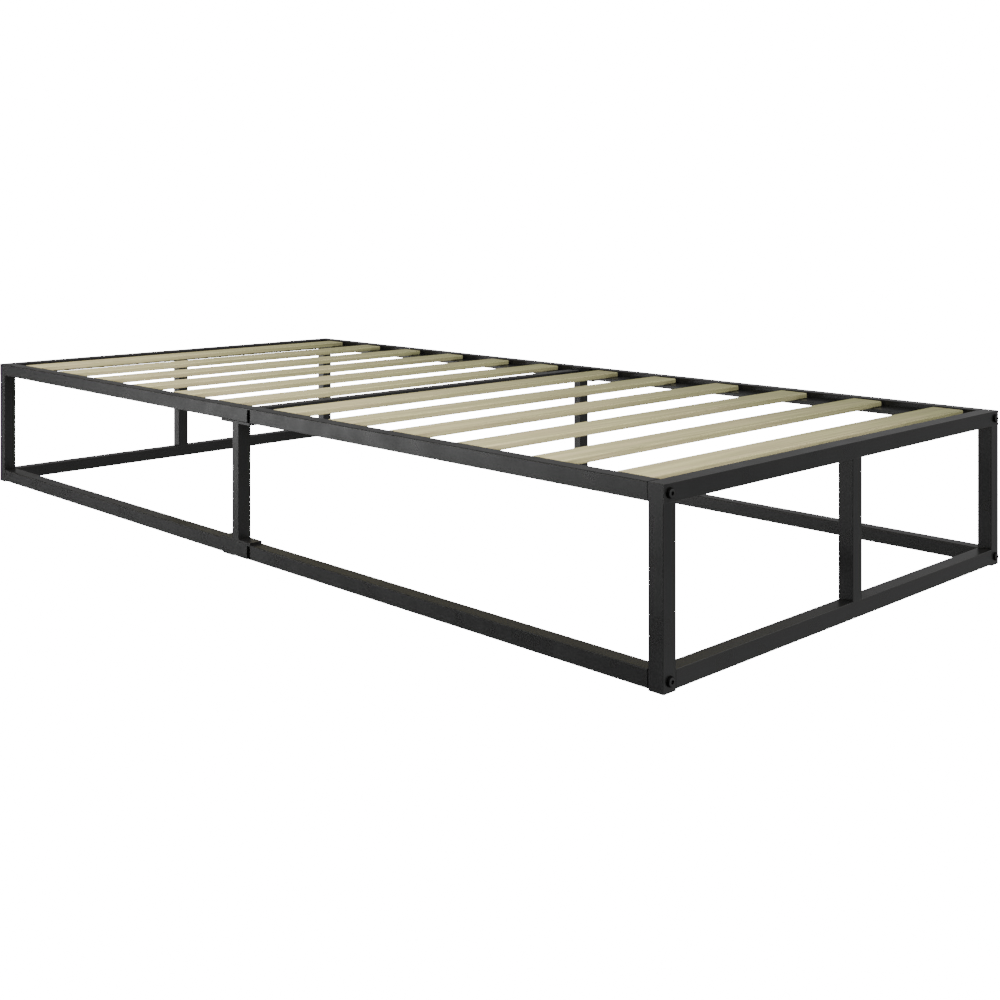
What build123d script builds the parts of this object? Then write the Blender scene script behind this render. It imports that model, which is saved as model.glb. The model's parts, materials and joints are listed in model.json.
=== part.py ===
"""Metal bed frame with wooden slats, in millimetres.

X runs from the head end to the foot end, Y from the front side to the back side and Z up.
The origin is on the floor, under the middle of the frame.
"""
import os

from build123d import *

os.makedirs("parts", exist_ok=True)

# Whole frame
LENGTH = 1900
WIDTH = 900
HEIGHT = 261

# Square steel tube of the frame
TUBE = 25
WALL = 1.5
TUBE_RADIUS = 1
BORE = TUBE - 2 * WALL
BORE_RADIUS = 0.5
COPE_REACH = 0.7

# Heights
FOOT_CAP_FLANGE = 2
LOW_RAIL_BOTTOM = FOOT_CAP_FLANGE
LOW_RAIL_TOP = LOW_RAIL_BOTTOM + TUBE
LOW_RAIL_MID = LOW_RAIL_BOTTOM + TUBE / 2
TOP_RAIL_BOTTOM = HEIGHT - TUBE
TOP_RAIL_MID = HEIGHT - TUBE / 2

# Centre lines of the outer tubes
END_X = (LENGTH - TUBE) / 2
SIDE_Y = (WIDTH - TUBE) / 2
INNER_X = LENGTH / 2 - TUBE
INNER_Y = WIDTH / 2 - TUBE

# Closing plates of the end frames' top rails
END_PLATE = 1.5

# Side rails and their joint near the middle leg
RAIL_END_GAP = 1
HEAD_RAIL_END = 34.5
FOOT_RAIL_START = 44
TONGUE_DEPTH = 2
SLEEVE_START = -40
SLEEVE_END = 120
SLEEVE_WALL = 2
JOINT_SCREW_X = 84
JOINT_SCREW_THREAD = 5
JOINT_SCREW_HEAD = 9
JOINT_SCREW_HEAD_HEIGHT = 1.2
JOINT_SCREW_LENGTH = 8

# Middle legs
LEG_X = -1.4
LEG_WIDTH = 20
LEG_PLATE = 4
LEG_PLATE_LENGTH = 90
LEG_PLATE_RADIUS = 1

# Middle feet, a pad with a thin strip beside it
PAD_START = -42
PAD_END = -12
STRIP_END = 34
STRIP_THICKNESS = 1
PAD_WIDTH = 22

# Crossbar
BAR = 20
BAR_RADIUS = 1.5
BAR_BOTTOM = 235.5
BAR_MID = BAR_BOTTOM + BAR / 2
BAR_TOP = BAR_BOTTOM + BAR
BAR_SCREW_Y = 412
BAR_SCREW_THREAD = 4
BAR_SCREW_HEAD = 7
BAR_SCREW_HEAD_HEIGHT = 1
BAR_SCREW_LENGTH = 14
BAR_SCREW_SLOT = 1.2
BAR_SCREW_SLOT_DEPTH = 0.6
STUB_LENGTH = 20

# Slats
SLAT_WIDTH = 57.5
SLAT_THICKNESS = 10
SLAT_LENGTH = 836
SLAT_PITCH = 156
SLATS_PER_HALF = 6
SLAT_EDGE_RADIUS = 2.5
SLAT_END_CHAMFER = 0.6
HEAD_FIRST_SLAT = -860.9
FOOT_FIRST_SLAT = 93.9

# Slat ledges
LEDGE_TOP = 249.5
LEDGE_WIDTH = 40
LEDGE_THICKNESS = 2
LEDGE_LIP_BOTTOM = 242
LEDGE_BEND_RADIUS = 1.5
LEDGE_END_GAP = 2
LEDGE_BAR_GAP = 1

# Slat screws
SLAT_SCREW_Y = 405
SLAT_SCREW_THREAD = 3
SLAT_SCREW_LENGTH = 9
SLAT_SCREW_HEAD = 7
SLAT_SCREW_HEAD_HEIGHT = 1.5

# Corner bolts and the threaded plugs they screw into
BOLT_THREAD = 8
BOLT_HOLE = 8.6
BOLT_HEAD = 14
BOLT_HEAD_HEIGHT = 4.4
BOLT_HEAD_RIM = 0.8
BOLT_HEAD_FLAT = 7
BOLT_LENGTH = 40
BOLT_SOCKET = 5
BOLT_SOCKET_DEPTH = 2.6
PLUG_LENGTH = 25

# Foot caps
CAP_STUB_TOP = 9
CAP_STUB_WALL = 2

ENDS = {"head": -1, "foot": 1}
SIDES = {"front": -1, "back": 1}
LEVELS = {"top": TOP_RAIL_MID, "bottom": LOW_RAIL_MID}


def save(part, label):
    """Name a finished piece and write it to its own file."""
    part.label = label
    export_step(part, f"parts/{label}.step")


def draw_tube(centre, width=TUBE, height=TUBE, radius=TUBE_RADIUS, wall=WALL):
    """Draw a hollow tube section in the sketch that is open."""
    bore_radius = max(radius - wall, BORE_RADIUS)
    with Locations(centre):
        RectangleRounded(width, height, radius)
        RectangleRounded(width - 2 * wall, height - 2 * wall, bore_radius, mode=Mode.SUBTRACT)


def end_top_rail(end):
    """Top rail of an end frame, which lies over both corner posts."""
    with BuildPart() as rail:
        with BuildSketch(Plane.XZ):
            draw_tube((end * END_X, TOP_RAIL_MID))
        extrude(amount=WIDTH / 2 - END_PLATE, both=True)
        with BuildSketch(Plane.YZ.offset(end * END_X)):
            with Locations((-SIDE_Y, TOP_RAIL_MID), (SIDE_Y, TOP_RAIL_MID)):
                Circle(BOLT_HOLE / 2)
        extrude(amount=TUBE, both=True, mode=Mode.SUBTRACT)
    return rail.part


def end_bottom_rail(end):
    """Bottom rail of an end frame, which fits between the corner posts."""
    with BuildPart() as rail:
        with BuildSketch(Plane.XZ):
            draw_tube((end * END_X, LOW_RAIL_MID))
        extrude(amount=INNER_Y, both=True)
    return rail.part


def corner_post(end, side):
    """Corner post, shaped at its top to the rounded underside of the rail above."""
    with BuildPart() as post:
        with BuildSketch(Plane.XY.offset(LOW_RAIL_BOTTOM)):
            draw_tube((end * END_X, side * SIDE_Y))
        extrude(amount=TOP_RAIL_BOTTOM + COPE_REACH - LOW_RAIL_BOTTOM)
        with BuildSketch(Plane.XZ):
            with Locations((end * END_X, TOP_RAIL_MID)):
                RectangleRounded(TUBE, TUBE, TUBE_RADIUS)
        extrude(amount=WIDTH / 2 + TUBE, both=True, mode=Mode.SUBTRACT)
        with BuildSketch(Plane.YZ.offset(end * END_X)):
            with Locations((side * SIDE_Y, LOW_RAIL_MID)):
                Circle(BOLT_HOLE / 2)
        extrude(amount=TUBE, both=True, mode=Mode.SUBTRACT)
    return post.part


def end_upright(end):
    """Centre upright of an end frame, shaped at both ends to the rails."""
    with BuildPart() as upright:
        with BuildSketch(Plane.XY.offset(LOW_RAIL_TOP - COPE_REACH)):
            draw_tube((end * END_X, 0))
        extrude(amount=TOP_RAIL_BOTTOM - LOW_RAIL_TOP + 2 * COPE_REACH)
        with BuildSketch(Plane.XZ):
            with Locations((end * END_X, TOP_RAIL_MID), (end * END_X, LOW_RAIL_MID)):
                RectangleRounded(TUBE, TUBE, TUBE_RADIUS)
        extrude(amount=TUBE, both=True, mode=Mode.SUBTRACT)
    return upright.part


def head_side_rail(side, height):
    """Head half of a side rail, whose top wall runs on over the joint as a tongue."""
    start = -INNER_X + RAIL_END_GAP
    cut_height = TUBE - TONGUE_DEPTH
    with BuildPart() as rail:
        with BuildSketch(Plane.YZ.offset(start)):
            draw_tube((side * SIDE_Y, height))
        extrude(amount=FOOT_RAIL_START - start)
        with BuildSketch(Plane.YZ.offset(HEAD_RAIL_END)):
            with Locations((side * SIDE_Y, height - TONGUE_DEPTH / 2)):
                Rectangle(2 * TUBE, cut_height)
        extrude(amount=TUBE, mode=Mode.SUBTRACT)
    return rail.part


def foot_side_rail(side, height):
    """Foot half of a side rail, with the hole for the joint screw underneath."""
    with BuildPart() as rail:
        with BuildSketch(Plane.YZ.offset(FOOT_RAIL_START)):
            draw_tube((side * SIDE_Y, height))
        extrude(amount=INNER_X - RAIL_END_GAP - FOOT_RAIL_START)
        with BuildSketch(Plane.XY.offset(height - TUBE / 2 - WALL)):
            with Locations((JOINT_SCREW_X, side * SIDE_Y)):
                Circle(JOINT_SCREW_THREAD / 2)
        extrude(amount=TUBE / 2, mode=Mode.SUBTRACT)
    return rail.part


def joint_sleeve(side, height):
    """Square sleeve inside both halves of a side rail, with a collar that fills the gap."""
    with BuildPart() as sleeve:
        with BuildSketch(Plane.YZ.offset(SLEEVE_START)):
            draw_tube((side * SIDE_Y, height), BORE, BORE, BORE_RADIUS, SLEEVE_WALL)
        extrude(amount=SLEEVE_END - SLEEVE_START)
        with BuildSketch(Plane.YZ.offset(HEAD_RAIL_END)):
            draw_tube((side * SIDE_Y, height))
            with Locations((side * SIDE_Y, height + (TUBE - TONGUE_DEPTH) / 2)):
                Rectangle(2 * TUBE, TONGUE_DEPTH, mode=Mode.SUBTRACT)
        extrude(amount=FOOT_RAIL_START - HEAD_RAIL_END)
        with BuildSketch(Plane.XY.offset(height - TUBE / 2)):
            with Locations((JOINT_SCREW_X, side * SIDE_Y)):
                Circle(JOINT_SCREW_THREAD / 2)
        extrude(amount=TUBE / 2, mode=Mode.SUBTRACT)
    return sleeve.part


def middle_leg(side):
    """Leg between the two leg plates of one side."""
    bottom = LOW_RAIL_TOP + LEG_PLATE
    with BuildPart() as leg:
        with BuildSketch(Plane.XY.offset(bottom)):
            draw_tube((LEG_X, side * SIDE_Y), LEG_WIDTH, TUBE)
        extrude(amount=TOP_RAIL_BOTTOM - LEG_PLATE - bottom)
    return leg.part


def leg_plate(side, bottom):
    """Flat plate between a middle leg and a side rail."""
    with BuildPart() as plate:
        with BuildSketch(Plane.XY.offset(bottom)):
            with Locations((LEG_X, side * SIDE_Y)):
                RectangleRounded(LEG_PLATE_LENGTH, TUBE, LEG_PLATE_RADIUS)
        extrude(amount=LEG_PLATE)
    return plate.part


def middle_foot(side):
    """Low foot under the bottom side rail, a pad with a thin strip beside it."""
    with BuildPart() as foot:
        with BuildSketch(Plane.XY):
            with Locations(((PAD_START + PAD_END) / 2, side * SIDE_Y)):
                Rectangle(PAD_END - PAD_START, PAD_WIDTH)
        extrude(amount=LOW_RAIL_BOTTOM)
        with BuildSketch(Plane.XY.offset(LOW_RAIL_BOTTOM - STRIP_THICKNESS)):
            with Locations(((PAD_START + STRIP_END) / 2, side * SIDE_Y)):
                Rectangle(STRIP_END - PAD_START, PAD_WIDTH)
        extrude(amount=STRIP_THICKNESS)
    return foot.part


def foot_cap(end, side):
    """Plastic cap pushed into the bottom of a corner post."""
    bore = BORE - 2 * CAP_STUB_WALL
    with BuildPart() as cap:
        with BuildSketch(Plane.XY):
            with Locations((end * END_X, side * SIDE_Y)):
                RectangleRounded(TUBE, TUBE, TUBE_RADIUS)
        extrude(amount=FOOT_CAP_FLANGE)
        with BuildSketch(Plane.XY.offset(FOOT_CAP_FLANGE)):
            with Locations((end * END_X, side * SIDE_Y)):
                RectangleRounded(BORE, BORE, BORE_RADIUS)
                Rectangle(bore, bore, mode=Mode.SUBTRACT)
        extrude(amount=CAP_STUB_TOP - FOOT_CAP_FLANGE)
    return cap.part


def crossbar_stub(side):
    """Block welded to the side rail, over which the end of the crossbar slides."""
    with BuildPart() as stub:
        with BuildSketch(Plane.XZ.offset(-side * INNER_Y)):
            with Locations((LEG_X, BAR_MID)):
                RectangleRounded(BAR - 2 * WALL, BAR - 2 * WALL, BORE_RADIUS)
        extrude(amount=side * STUB_LENGTH)
        with BuildSketch(Plane.XY.offset(BAR_TOP - BAR_SCREW_LENGTH)):
            with Locations((LEG_X, side * BAR_SCREW_Y)):
                Circle(BAR_SCREW_THREAD / 2)
        extrude(amount=BAR_SCREW_LENGTH, mode=Mode.SUBTRACT)
    return stub.part


def slat_ledge(side, start, end, slat_places):
    """Sheet ledge with a turned-down lip, welded inside a top side rail."""
    wall = side * INNER_Y
    edge = side * (INNER_Y - LEDGE_WIDTH)
    lip_inside = side * (INNER_Y - LEDGE_WIDTH + LEDGE_THICKNESS)
    under = LEDGE_TOP - LEDGE_THICKNESS
    with BuildPart() as ledge:
        with BuildSketch(Plane.YZ.offset(start)):
            with BuildLine():
                Polyline(
                    (wall, LEDGE_TOP),
                    (edge, LEDGE_TOP),
                    (edge, LEDGE_LIP_BOTTOM),
                    (lip_inside, LEDGE_LIP_BOTTOM),
                    (lip_inside, under),
                    (wall, under),
                    close=True,
                )
            make_face()
        extrude(amount=end - start)
        bend = ledge.edges().filter_by(Axis.X).group_by(Axis.Z)[-1].sort_by(Axis.Y)
        fillet(bend[0 if side > 0 else -1], LEDGE_BEND_RADIUS)
        with BuildSketch(Plane.XY.offset(under)):
            with Locations(*[(place, side * SLAT_SCREW_Y) for place in slat_places]):
                Circle(SLAT_SCREW_THREAD / 2)
        extrude(amount=LEDGE_THICKNESS, mode=Mode.SUBTRACT)
    return ledge.part


def slat(place):
    """Wooden slat with rounded long edges and a screw hole under each end."""
    with BuildPart() as board:
        with BuildSketch(Plane.XZ):
            with Locations((place, LEDGE_TOP + SLAT_THICKNESS / 2)):
                RectangleRounded(SLAT_WIDTH, SLAT_THICKNESS, SLAT_EDGE_RADIUS)
        extrude(amount=SLAT_LENGTH / 2, both=True)
        chamfer(board.faces().filter_by(Axis.Y).edges(), SLAT_END_CHAMFER)
        with BuildSketch(Plane.XY.offset(LEDGE_TOP)):
            with Locations((place, -SLAT_SCREW_Y), (place, SLAT_SCREW_Y)):
                Circle(SLAT_SCREW_THREAD / 2)
        extrude(amount=SLAT_SCREW_LENGTH - LEDGE_THICKNESS, mode=Mode.SUBTRACT)
    return board.part


# End frames
for end_name, end in ENDS.items():
    save(end_top_rail(end), f"{end_name}_top_rail")
    save(end_bottom_rail(end), f"{end_name}_bottom_rail")
    save(end_upright(end), f"{end_name}_upright")
    for side_name, side in SIDES.items():
        save(corner_post(end, side), f"{end_name}_{side_name}_post")
        save(foot_cap(end, side), f"{end_name}_{side_name}_foot_cap")

# Side rails, their sleeves and the middle legs
for side_name, side in SIDES.items():
    for level_name, height in LEVELS.items():
        save(head_side_rail(side, height), f"{side_name}_head_{level_name}_rail")
        save(foot_side_rail(side, height), f"{side_name}_foot_{level_name}_rail")
        save(joint_sleeve(side, height), f"{side_name}_{level_name}_joint_sleeve")
    save(middle_leg(side), f"{side_name}_middle_leg")
    save(leg_plate(side, TOP_RAIL_BOTTOM - LEG_PLATE), f"{side_name}_upper_leg_plate")
    save(leg_plate(side, LOW_RAIL_TOP), f"{side_name}_lower_leg_plate")
    save(middle_foot(side), f"{side_name}_middle_foot")
    save(crossbar_stub(side), f"{side_name}_crossbar_stub")

# Crossbar between the top side rails
with BuildPart() as crossbar:
    with BuildSketch(Plane.XZ):
        draw_tube((LEG_X, BAR_MID), BAR, BAR, BAR_RADIUS)
    extrude(amount=INNER_Y, both=True)
    with BuildSketch(Plane.XY.offset(BAR_MID)):
        with Locations((LEG_X, -BAR_SCREW_Y), (LEG_X, BAR_SCREW_Y)):
            Circle(BAR_SCREW_THREAD / 2)
    extrude(amount=BAR, mode=Mode.SUBTRACT)
save(crossbar.part, "crossbar")

# Slats and the ledges they lie on
head_slats = [HEAD_FIRST_SLAT + SLAT_PITCH * step for step in range(SLATS_PER_HALF)]
foot_slats = [FOOT_FIRST_SLAT + SLAT_PITCH * step for step in range(SLATS_PER_HALF)]
head_ledge_end = LEG_X - BAR / 2 - LEDGE_BAR_GAP
foot_ledge_start = FOOT_RAIL_START + LEDGE_BAR_GAP
ledge_limit = INNER_X - LEDGE_END_GAP
for side_name, side in SIDES.items():
    head_ledge = slat_ledge(side, -ledge_limit, head_ledge_end, head_slats)
    foot_ledge = slat_ledge(side, foot_ledge_start, ledge_limit, foot_slats)
    save(head_ledge, f"{side_name}_head_slat_ledge")
    save(foot_ledge, f"{side_name}_foot_slat_ledge")
for number, place in enumerate(head_slats + foot_slats, start=1):
    save(slat(place), f"slat_{number:02d}")

# Closing plates on the ends of both top end rails
with BuildPart() as rail_end_plates:
    for side in SIDES.values():
        with BuildSketch(Plane.XZ.offset(-side * WIDTH / 2)):
            with Locations((-END_X, TOP_RAIL_MID), (END_X, TOP_RAIL_MID)):
                RectangleRounded(TUBE, TUBE, TUBE_RADIUS)
        extrude(amount=side * END_PLATE)
save(rail_end_plates.part, "top_rail_end_plates")

# Corner bolts, two through each corner of the frame
with BuildPart() as corner_bolts:
    for end in ENDS.values():
        for side in SIDES.values():
            for height in LEVELS.values():
                seat = (end * LENGTH / 2, side * SIDE_Y, height)
                with BuildSketch(Plane(seat, x_dir=(end, 0, 0), z_dir=(0, 1, 0))):
                    with BuildLine():
                        rim = Polyline((0, 0), (0, BOLT_HEAD / 2), (BOLT_HEAD_RIM, BOLT_HEAD / 2))
                        dome = TangentArc(
                            rim @ 1, (BOLT_HEAD_HEIGHT, BOLT_HEAD_FLAT / 2), tangent=(1, 0)
                        )
                        Polyline(dome @ 1, (BOLT_HEAD_HEIGHT, 0), (0, 0))
                    make_face()
                revolve(axis=Axis(seat, (end, 0, 0)))
                with BuildSketch(Plane(seat, z_dir=(end, 0, 0))):
                    Circle(BOLT_THREAD / 2)
                extrude(amount=-BOLT_LENGTH)
                with BuildSketch(Plane(seat, z_dir=(end, 0, 0)).offset(BOLT_HEAD_HEIGHT)):
                    RegularPolygon(BOLT_SOCKET / 2, 6, major_radius=False)
                extrude(amount=-BOLT_SOCKET_DEPTH, mode=Mode.SUBTRACT)
save(corner_bolts.part, "corner_bolts")

# Threaded plugs in the ends of the side rails
with BuildPart() as rail_end_plugs:
    for end in ENDS.values():
        with BuildSketch(Plane.YZ.offset(end * INNER_X)):
            for side in SIDES.values():
                with Locations(*[(side * SIDE_Y, height) for height in LEVELS.values()]):
                    RectangleRounded(BORE, BORE, BORE_RADIUS)
                    Circle(BOLT_THREAD / 2, mode=Mode.SUBTRACT)
        extrude(amount=-end * PLUG_LENGTH)
save(rail_end_plugs.part, "rail_end_plugs")

# Screws that hold the sleeves in the foot halves of the side rails
with BuildPart() as joint_screws:
    for height in LEVELS.values():
        with BuildSketch(Plane.XY.offset(height - TUBE / 2)):
            with Locations((JOINT_SCREW_X, -SIDE_Y), (JOINT_SCREW_X, SIDE_Y)):
                Circle(JOINT_SCREW_HEAD / 2)
        extrude(amount=-JOINT_SCREW_HEAD_HEIGHT)
        with BuildSketch(Plane.XY.offset(height - TUBE / 2)):
            with Locations((JOINT_SCREW_X, -SIDE_Y), (JOINT_SCREW_X, SIDE_Y)):
                Circle(JOINT_SCREW_THREAD / 2)
        extrude(amount=JOINT_SCREW_LENGTH)
save(joint_screws.part, "joint_screws")

# Screws that hold the crossbar on its stubs
with BuildPart() as crossbar_screws:
    for side in SIDES.values():
        with BuildSketch(Plane.XY.offset(BAR_TOP)):
            with Locations((LEG_X, side * BAR_SCREW_Y)):
                Circle(BAR_SCREW_HEAD / 2)
        extrude(amount=BAR_SCREW_HEAD_HEIGHT)
        with BuildSketch(Plane.XY.offset(BAR_TOP)):
            with Locations((LEG_X, side * BAR_SCREW_Y)):
                Circle(BAR_SCREW_THREAD / 2)
        extrude(amount=-BAR_SCREW_LENGTH)
        with BuildSketch(Plane.XY.offset(BAR_TOP + BAR_SCREW_HEAD_HEIGHT)):
            with Locations((LEG_X, side * BAR_SCREW_Y)):
                Rectangle(BAR_SCREW_HEAD, BAR_SCREW_SLOT)
        extrude(amount=-BAR_SCREW_SLOT_DEPTH, mode=Mode.SUBTRACT)
save(crossbar_screws.part, "crossbar_screws")

# Screws that hold the slats from underneath
slat_screw_places = [
    (place, side * SLAT_SCREW_Y) for place in head_slats + foot_slats for side in SIDES.values()
]
with BuildPart() as slat_screws:
    with BuildSketch(Plane.XY.offset(LEDGE_TOP - LEDGE_THICKNESS)):
        with Locations(*slat_screw_places):
            Circle(SLAT_SCREW_HEAD / 2)
    extrude(amount=-SLAT_SCREW_HEAD_HEIGHT)
    with BuildSketch(Plane.XY.offset(LEDGE_TOP - LEDGE_THICKNESS)):
        with Locations(*slat_screw_places):
            Circle(SLAT_SCREW_THREAD / 2)
    extrude(amount=SLAT_SCREW_LENGTH)
save(slat_screws.part, "slat_screws")
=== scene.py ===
"""Looks of the metal bed frame: powder-coated steel tube with pale wooden slats."""
import json
from math import radians

import bpy
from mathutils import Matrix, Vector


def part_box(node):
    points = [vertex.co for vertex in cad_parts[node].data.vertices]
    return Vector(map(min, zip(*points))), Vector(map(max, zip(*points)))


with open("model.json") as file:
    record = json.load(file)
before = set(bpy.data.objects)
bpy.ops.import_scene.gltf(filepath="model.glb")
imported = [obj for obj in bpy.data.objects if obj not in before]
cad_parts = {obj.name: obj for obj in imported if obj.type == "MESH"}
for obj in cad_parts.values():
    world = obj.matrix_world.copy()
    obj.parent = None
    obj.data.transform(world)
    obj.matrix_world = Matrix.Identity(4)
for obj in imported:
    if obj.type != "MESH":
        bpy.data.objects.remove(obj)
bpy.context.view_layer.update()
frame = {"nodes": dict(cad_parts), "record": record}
nodes = frame["nodes"]
scene = bpy.context.scene

# Studio light, by direction, in degrees. Azimuths turn from +X towards +Y. Elevations are above the
# horizon, and the floor glow's are below it. Of two pairs, the glow rises over the first and falls
# over the second.
AMBIENT = 0.033
SIDE_GLOW = 0.285
SIDE_GLOW_AZIMUTH = 40
TOP_GLOW = 2.75
TOP_GLOW_AZIMUTH = 330
TOP_GLOW_START = 5
TOP_GLOW_FULL = 40
BACK_GLOW = 0.16
BACK_GLOW_AZIMUTH = 165
BACK_GLOW_FOCUS = 3
BACK_GLOW_EDGES = ((-5, 3), (9, 20))
FLOOR_GLOW = 0.97
FLOOR_GLOW_AZIMUTH = 314
FLOOR_GLOW_START = 8
FLOOR_GLOW_FULL = 40
PANEL_POWER = 6.1
PANEL_AZIMUTH = 225
PANEL_SIDES = ((-14.0, -13.2), (-11.0, 32.0))
PANEL_EDGES = ((-9.9, -9.0), (-5.5, -1.2))

# Backdrop and floor
WHITE = 17
FLOOR_SIZE = 60
FLOOR_LEVEL = 0.9

# Powder coat
COAT_DARK = 0.0095
COAT_LIGHT = 0.0125
# Colour of the edges: worn paler, and also a painted highlight along them
COAT_RUBBED_HIGHLIGHT = 0.035
COAT_ROUGHNESS = 0.3
COAT_UNEVEN = 0.03
PEEL_SIZE = 0.0022
PEEL_DEPTH = 0.00002
GRIT_SIZE = 0.0005
GRIT_SHARE = 0.3
CLOUD_SIZE = 0.05
CLOUD_DETAIL = 3
CLOUD_SPAN = (0.3, 0.7)
WEAR_HIGHLIGHT_SPAN = (0.4, 0.7)

# Edges, found where a rounded edge would turn the surface away from its flat
BEVEL_SAMPLES = 4
EDGE_NONE = 0.99
EDGE_FULL = 0.9
WEAR_HIGHLIGHT_WIDTH = 0.0012
ARRIS_WIDTH = 0.0015
ARRIS_SHADE = 0.08

# Wood of the slats, sizes across, along and through the grain
WANDER_SIZE = (0.12, 0.6, 0.12)
WANDER = (0.02, 0, 0.02)
# Painted light and shade: slat colour at the lit front ends, and at the back ends in painted shade
WOOD_FRONT_LIT = (0.70, 0.625, 0.33)
WOOD_BACK_SHADED = (0.255, 0.248, 0.122)
OLIVE = (0.985, 1.0, 0.97)
ROSY = (1.02, 0.99, 1.03)
BAND_SIZE = (0.014, 0.7, 0.014)
BAND_CONTRAST = 0.5
BAND_DETAIL = 3
STREAK_SIZE = (0.0045, 0.28, 0.0045)
STREAK_CONTRAST = 1.1
STREAK_DETAIL = 4
STREAK_HARSHNESS = 0.6
STREAK_SPAN = (0.3, 0.7)
PORE_SIZE = (0.0008, 0.03, 0.0008)
PORE_CONTRAST = 0.12
PORE_SPAN = (0.58, 0.72)
PORE_DEPTH_SHARE = 0.5
WARMTH_SIZE = (0.012, 0.12, 0.012)
WARMTH_SPAN = (0.42, 0.62)
WOOD_ROUGHNESS = (0.55, 0.7)
WOOD_SPECULAR = 0.2
GRAIN_DEPTH = 0.00015

# Moulded plastic
TEXTURE_SIZE = 0.0008
TEXTURE_DEPTH = 0.00003
MOULDED_UNEVEN = 0.05
SCUFF_GAIN = 2
CAP_BLACK = 0.012
CAP_ROUGHNESS = 0.45
CAP_SPECULAR = 0.3
# Joint sleeve: near black and barely glossy, a painted shade for the deep gap at the rail joint
JOINT_PAINTED_SHADE = 0.001
JOINT_ROUGHNESS = 0.7
JOINT_SPECULAR = 0.02

# Black bolts and zinc screws
OXIDE_SIZE = 0.0015
OXIDE_DEPTH = 0.00002
BOLT_SPECULAR = 0.05
BOLT_CROWN = 0.035
BOLT_UNEVEN = 0.2
# Colour of the bolt heads' flanks: painted shade, near black
BOLT_FLANK_PAINTED_SHADE = 0.0005
BOLT_ROUGHNESS = (0.45, 0.6)
CROWN = (0.74, 0.84)
ZINC_DARK = (0.42, 0.43, 0.45)
ZINC_LIGHT = (0.62, 0.63, 0.64)
ZINC_ROUGHNESS = (0.3, 0.5)

# Camera, level: place in metres, turn in degrees from looking along +Y, sensor and lens in millimetres
CAMERA_PLACE = (2.0028, -1.7493, 0.5927)
CAMERA_TURN = 45.403
SENSOR_WIDTH = 36
LENS = 48.488
SHIFT = (-0.0128, -0.2846)


class Nodes:
    """Short ways to add nodes to one node tree."""

    def __init__(self, tree):
        self.tree = tree

    def add(self, kind, **settings):
        node = self.tree.nodes.new(kind)
        for name, value in settings.items():
            setattr(node, name, value)
        return node

    def put(self, socket, value):
        if isinstance(value, bpy.types.NodeSocket):
            self.tree.links.new(value, socket)
        else:
            socket.default_value = value

    def math(self, operation, *values, clamp=False):
        node = self.add("ShaderNodeMath", operation=operation, use_clamp=clamp)
        for socket, value in zip(node.inputs, values):
            self.put(socket, value)
        return node.outputs[0]

    def vector(self, operation, *values):
        node = self.add("ShaderNodeVectorMath", operation=operation)
        for socket, value in zip(node.inputs, values):
            self.put(socket, value)
        return node

    def ramp(self, value, low, high, out_low=0.0, out_high=1.0):
        """value taken smoothly from low..high to out_low..out_high, and held outside them."""
        node = self.add("ShaderNodeMapRange", interpolation_type="SMOOTHSTEP")
        for name, what in (("Value", value), ("From Min", low), ("From Max", high),
                           ("To Min", out_low), ("To Max", out_high)):
            self.put(node.inputs[name], what)
        return node.outputs[0]

    def mix(self, share, first, second):
        """first where share is 0, second where it is 1."""
        node = self.add("ShaderNodeMix", data_type="RGBA")
        for name, what in (("Factor_Float", share), ("A_Color", first), ("B_Color", second)):
            socket = next(socket for socket in node.inputs if socket.identifier == name)
            self.put(socket, what)
        return next(socket for socket in node.outputs if socket.identifier == "Result_Color")

    def place(self):
        """Where a point is on the bed frame, in metres."""
        return self.add("ShaderNodeTexCoord").outputs["Object"]

    def noise(self, place, size, detail=2, harshness=0.5):
        """Noise about 0.5 whose blobs are size metres wide: one number, or one for X, Y and Z."""
        sizes = size if isinstance(size, tuple) else (size,) * 3
        stretched = self.vector("DIVIDE", place, sizes).outputs[0]
        node = self.add("ShaderNodeTexNoise")
        for name, what in (("Vector", stretched), ("Scale", 1), ("Detail", detail),
                           ("Roughness", harshness)):
            self.put(node.inputs[name], what)
        return node.outputs[0]

    def edges(self, radius):
        """1 along the sharp edges and 0 on the flats."""
        rounded = self.add("ShaderNodeBevel", samples=BEVEL_SAMPLES)
        rounded.inputs["Radius"].default_value = radius
        normal = self.add("ShaderNodeNewGeometry").outputs["Normal"]
        along = self.vector("DOT_PRODUCT", rounded.outputs[0], normal).outputs["Value"]
        return self.ramp(along, EDGE_FULL, EDGE_NONE, 1, 0)

    def bump(self, shader, height, depth, strength=1.0):
        """Relief of height 0..1 that is depth metres deep."""
        node = self.add("ShaderNodeBump")
        self.put(node.inputs["Strength"], strength)
        self.put(node.inputs["Distance"], depth)
        self.put(node.inputs["Height"], height)
        self.put(shader.inputs["Normal"], node.outputs[0])


def grey(level):
    return (level, level, level, 1)


def new_material(name, specular=0.5):
    """A material with a plain shader, and the means to add nodes to it."""
    material = bpy.data.materials.new(name)
    material.use_nodes = True
    tree = material.node_tree
    shader = tree.nodes["Principled BSDF"]
    shader.inputs["Specular IOR Level"].default_value = specular
    return material, Nodes(tree), shader


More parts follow.
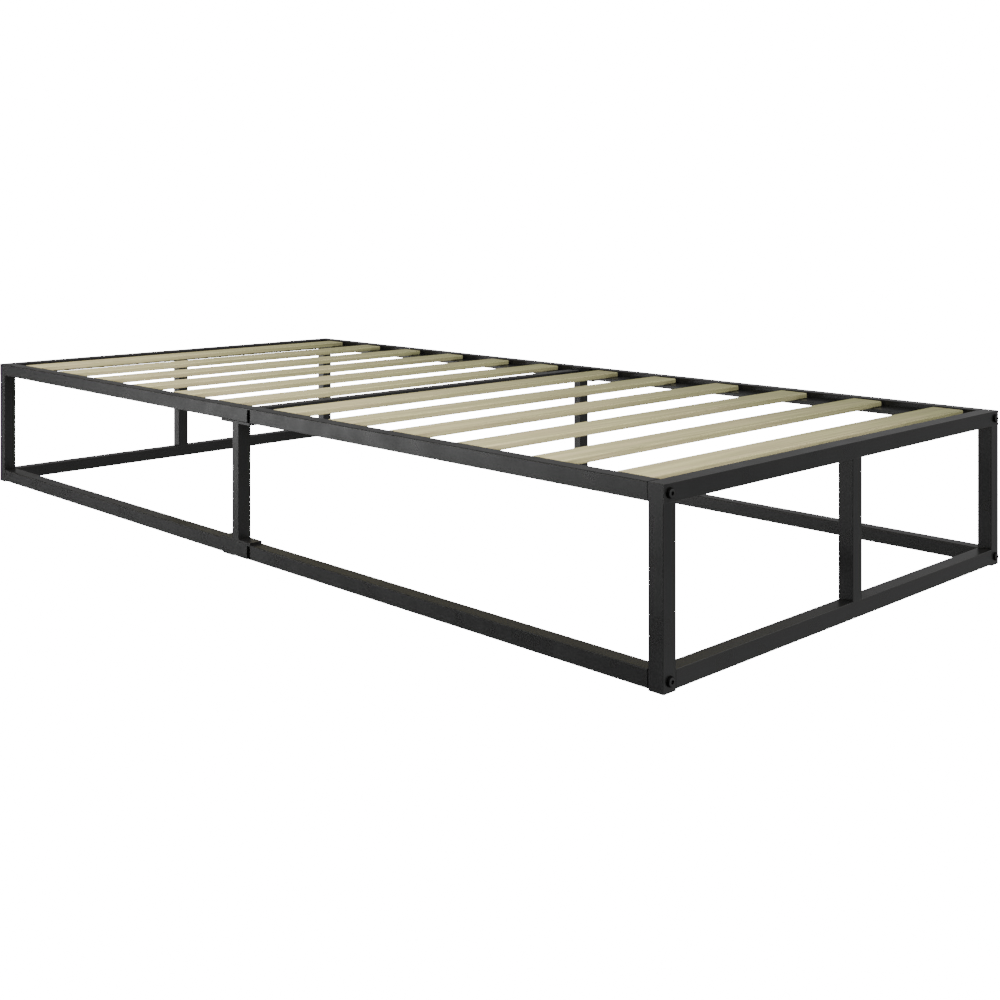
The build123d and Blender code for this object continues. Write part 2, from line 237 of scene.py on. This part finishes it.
def coated_metal(name):
    """Satin black powder coat: faint orange peel, uneven sheen, and paler edges that are partly wear
    and partly a painted highlight.
    """
    material, kit, shader = new_material(name)
    place = kit.place()
    peel = kit.noise(place, PEEL_SIZE)
    grit = kit.noise(place, GRIT_SIZE, detail=1)
    cloud = kit.noise(place, CLOUD_SIZE, detail=CLOUD_DETAIL)
    # Paler edges, partly wear and partly a painted highlight, blotched by the cloud
    wear_and_highlight_mask = kit.math("MULTIPLY", kit.edges(WEAR_HIGHLIGHT_WIDTH), kit.ramp(cloud, *WEAR_HIGHLIGHT_SPAN))
    body = kit.mix(cloud, grey(COAT_DARK), grey(COAT_LIGHT))
    kit.put(shader.inputs["Base Color"], kit.mix(wear_and_highlight_mask, body, grey(COAT_RUBBED_HIGHLIGHT)))
    sheen = kit.ramp(cloud, *CLOUD_SPAN, COAT_ROUGHNESS - COAT_UNEVEN, COAT_ROUGHNESS + COAT_UNEVEN)
    kit.put(shader.inputs["Roughness"], kit.math("MULTIPLY_ADD", wear_and_highlight_mask, -COAT_UNEVEN, sheen))
    kit.bump(shader, kit.math("MULTIPLY_ADD", grit, GRIT_SHARE, peel), PEEL_DEPTH)
    return material


def pale_wood(name):
    """Planed pine: long wandering grain, darker pores, and painted light that makes the slats pale at
    their front ends and dark at the back.
    """
    material, kit, shader = new_material(name, specular=WOOD_SPECULAR)
    place = kit.place()
    wander = kit.noise(place, WANDER_SIZE)
    grain_place = kit.vector("MULTIPLY_ADD", wander, WANDER, place).outputs[0]
    bands = kit.noise(grain_place, BAND_SIZE, detail=BAND_DETAIL)
    streaks = kit.noise(grain_place, STREAK_SIZE, STREAK_DETAIL, STREAK_HARSHNESS)
    pores = kit.ramp(kit.noise(grain_place, PORE_SIZE), *PORE_SPAN)
    tone = kit.math("MULTIPLY_ADD", bands, BAND_CONTRAST, 1 - BAND_CONTRAST / 2)
    tone = kit.math("MULTIPLY_ADD", streaks, STREAK_CONTRAST,
                    kit.math("SUBTRACT", tone, STREAK_CONTRAST / 2))
    tone = kit.math("MULTIPLY_ADD", pores, -PORE_CONTRAST, tone)
    tone = kit.math("MULTIPLY_ADD", kit.edges(ARRIS_WIDTH), -ARRIS_SHADE, tone)
    # Painted light: the colour fades from pale at the front ends of the slats to dark at the back, a
    # painted fall-off of the light
    low_corner, high_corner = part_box("slat_01")
    front, back = low_corner[1], high_corner[1]
    along = kit.add("ShaderNodeSeparateXYZ")
    kit.put(along.inputs[0], place)
    length = back - front
    share = kit.math("MULTIPLY_ADD", along.outputs["Y"], 1 / length, -front / length, clamp=True)
    color = kit.mix(share, (*WOOD_FRONT_LIT, 1), (*WOOD_BACK_SHADED, 1))
    warmth = kit.ramp(kit.noise(grain_place, WARMTH_SIZE), *WARMTH_SPAN)
    color = kit.vector("MULTIPLY", color, kit.mix(warmth, (*OLIVE, 1), (*ROSY, 1))).outputs[0]
    scaled = kit.add("ShaderNodeVectorMath", operation="SCALE")
    kit.put(scaled.inputs[0], color)
    kit.put(scaled.inputs["Scale"], tone)
    kit.put(shader.inputs["Base Color"], scaled.outputs[0])
    kit.put(shader.inputs["Roughness"], kit.ramp(streaks, *STREAK_SPAN, *WOOD_ROUGHNESS))
    pore_depth = kit.math("MULTIPLY", pores, PORE_DEPTH_SHARE)
    kit.bump(shader, kit.math("SUBTRACT", streaks, pore_depth), GRAIN_DEPTH)
    return material


def moulded(name, level, roughness, specular):
    """Black moulded plastic with a fine spark-eroded texture, scuffed along its edges. At the rail
    joint its near black is painted shade of the gap.
    """
    material, kit, shader = new_material(name, specular)
    place = kit.place()
    texture = kit.noise(place, TEXTURE_SIZE)
    cloud = kit.noise(place, CLOUD_SIZE, detail=CLOUD_DETAIL)
    scuffed = kit.math("MULTIPLY", kit.edges(WEAR_HIGHLIGHT_WIDTH), kit.ramp(cloud, *WEAR_HIGHLIGHT_SPAN))
    kit.put(shader.inputs["Base Color"], kit.mix(scuffed, grey(level), grey(level * SCUFF_GAIN)))
    sheen = kit.ramp(cloud, *CLOUD_SPAN, roughness - MOULDED_UNEVEN, roughness + MOULDED_UNEVEN)
    kit.put(shader.inputs["Roughness"], sheen)
    kit.bump(shader, texture, TEXTURE_DEPTH)
    return material


def black_oxide(name):
    """Blackened steel bolts: grey crowns, and flanks painted near black as shade."""
    material, kit, shader = new_material(name, specular=BOLT_SPECULAR)
    normal = kit.add("ShaderNodeSeparateXYZ")
    kit.put(normal.inputs[0], kit.add("ShaderNodeNewGeometry").outputs["Normal"])
    # Painted shade: every face of a head that doesn't face along X is painted near black
    crown = kit.ramp(kit.math("ABSOLUTE", normal.outputs["X"]), *CROWN)
    cloud = kit.noise(kit.place(), OXIDE_SIZE, detail=CLOUD_DETAIL)
    crown_grey = kit.mix(cloud, grey(BOLT_CROWN * (1 - BOLT_UNEVEN)), grey(BOLT_CROWN * (1 + BOLT_UNEVEN)))
    kit.put(shader.inputs["Base Color"], kit.mix(crown, grey(BOLT_FLANK_PAINTED_SHADE), crown_grey))
    kit.put(shader.inputs["Roughness"], kit.ramp(cloud, *CLOUD_SPAN, *BOLT_ROUGHNESS))
    kit.bump(shader, cloud, OXIDE_DEPTH)
    return material


def zinc_plate(name):
    """Zinc plated screws: pale metal with a mottled sheen."""
    material, kit, shader = new_material(name)
    shader.inputs["Metallic"].default_value = 1
    cloud = kit.noise(kit.place(), OXIDE_SIZE, detail=CLOUD_DETAIL)
    kit.put(shader.inputs["Base Color"], kit.mix(cloud, (*ZINC_DARK, 1), (*ZINC_LIGHT, 1)))
    kit.put(shader.inputs["Roughness"], kit.ramp(cloud, *CLOUD_SPAN, *ZINC_ROUGHNESS))
    kit.bump(shader, cloud, OXIDE_DEPTH)
    return material


finishes = {
    "frame_paint": coated_metal("frame_paint"),
    "slat_wood": pale_wood("slat_wood"),
    # The joint sleeve's near black is painted shade of the gap at the rail joint
    "joint_black": moulded("joint_black", JOINT_PAINTED_SHADE, JOINT_ROUGHNESS, JOINT_SPECULAR),
    "cap_plastic": moulded("cap_plastic", CAP_BLACK, CAP_ROUGHNESS, CAP_SPECULAR),
    "bolt_black": black_oxide("bolt_black"),
    "zinc_steel": zinc_plate("zinc_steel"),
}
for row in frame["record"]["subparts"]:
    mesh = nodes[row["node"]].data
    mesh.materials.clear()
    mesh.materials.append(finishes[row["material_slot"]])


def studio_world():
    """Soft studio light as a smooth map of directions, on a white backdrop."""
    world = bpy.data.worlds.new("studio")
    world.use_nodes = True
    tree = world.node_tree
    kit = Nodes(tree)
    direction = kit.add("ShaderNodeSeparateXYZ")
    kit.put(direction.inputs[0], kit.add("ShaderNodeTexCoord").outputs["Generated"])
    x, y, z = direction.outputs
    azimuth = kit.math("DEGREES", kit.math("ARCTAN2", y, x))
    elevation = kit.math("DEGREES", kit.math("ARCSINE", z))

    def from_azimuth(centre):
        """Azimuth counted from centre, from -180 to 180."""
        return kit.math("WRAP", kit.math("SUBTRACT", azimuth, centre), 180, -180)

    def towards(centre):
        """1 at azimuth centre, falling to 0 on the opposite side."""
        cosine = kit.math("COSINE", kit.math("RADIANS", from_azimuth(centre)))
        return kit.math("MULTIPLY_ADD", cosine, 0.5, 0.5)

    side = kit.math("MULTIPLY_ADD", towards(SIDE_GLOW_AZIMUTH), SIDE_GLOW, AMBIENT)
    top = kit.math("MULTIPLY", towards(TOP_GLOW_AZIMUTH),
                   kit.ramp(elevation, TOP_GLOW_START, TOP_GLOW_FULL, 0, TOP_GLOW))
    below = kit.math("MULTIPLY", elevation, -1)
    ground = kit.math("MULTIPLY", towards(FLOOR_GLOW_AZIMUTH),
                      kit.ramp(below, FLOOR_GLOW_START, FLOOR_GLOW_FULL, 0, FLOOR_GLOW))
    across = from_azimuth(PANEL_AZIMUTH)
    panel = kit.math("MULTIPLY", kit.ramp(across, *PANEL_SIDES[0]),
                     kit.ramp(across, *PANEL_SIDES[1], 1, 0))
    panel = kit.math("MULTIPLY", panel, kit.ramp(elevation, *PANEL_EDGES[0]))
    panel = kit.math("MULTIPLY", panel, kit.ramp(elevation, *PANEL_EDGES[1], PANEL_POWER, 0))
    behind = kit.math("MULTIPLY", kit.ramp(elevation, *BACK_GLOW_EDGES[0]),
                      kit.ramp(elevation, *BACK_GLOW_EDGES[1], BACK_GLOW, 0))
    focus = kit.math("POWER", towards(BACK_GLOW_AZIMUTH), BACK_GLOW_FOCUS)
    behind = kit.math("MULTIPLY", focus, behind)
    glow = kit.math("ADD", kit.math("ADD", side, top), kit.math("ADD", ground, panel))
    glow = kit.math("ADD", glow, behind)
    seen = kit.add("ShaderNodeLightPath").outputs["Is Camera Ray"]
    strength = kit.math("ADD", kit.math("MULTIPLY", glow, kit.math("SUBTRACT", 1, seen)),
                        kit.math("MULTIPLY", seen, WHITE))
    kit.put(tree.nodes["Background"].inputs["Strength"], strength)
    tree.nodes["Background"].inputs["Color"].default_value = (1, 1, 1, 1)
    scene.world = world


studio_world()

# Floor
bpy.ops.mesh.primitive_plane_add(size=FLOOR_SIZE)
floor = bpy.context.object
floor.name = "floor"
floor_white, _, floor_shader = new_material("floor_white")
floor_shader.inputs["Base Color"].default_value = grey(FLOOR_LEVEL)
floor_shader.inputs["Emission Color"].default_value = (1, 1, 1, 1)
floor_shader.inputs["Emission Strength"].default_value = WHITE
floor.data.materials.append(floor_white)
floor.visible_glossy = False
floor.visible_diffuse = False

# Camera
camera_data = bpy.data.cameras.new("camera")
camera = bpy.data.objects.new("camera", camera_data)
scene.collection.objects.link(camera)
camera.location = CAMERA_PLACE
camera.rotation_euler = (radians(90), 0, radians(CAMERA_TURN))
camera_data.sensor_width = SENSOR_WIDTH
camera_data.lens = LENS
camera_data.shift_x, camera_data.shift_y = SHIFT
scene.camera = camera
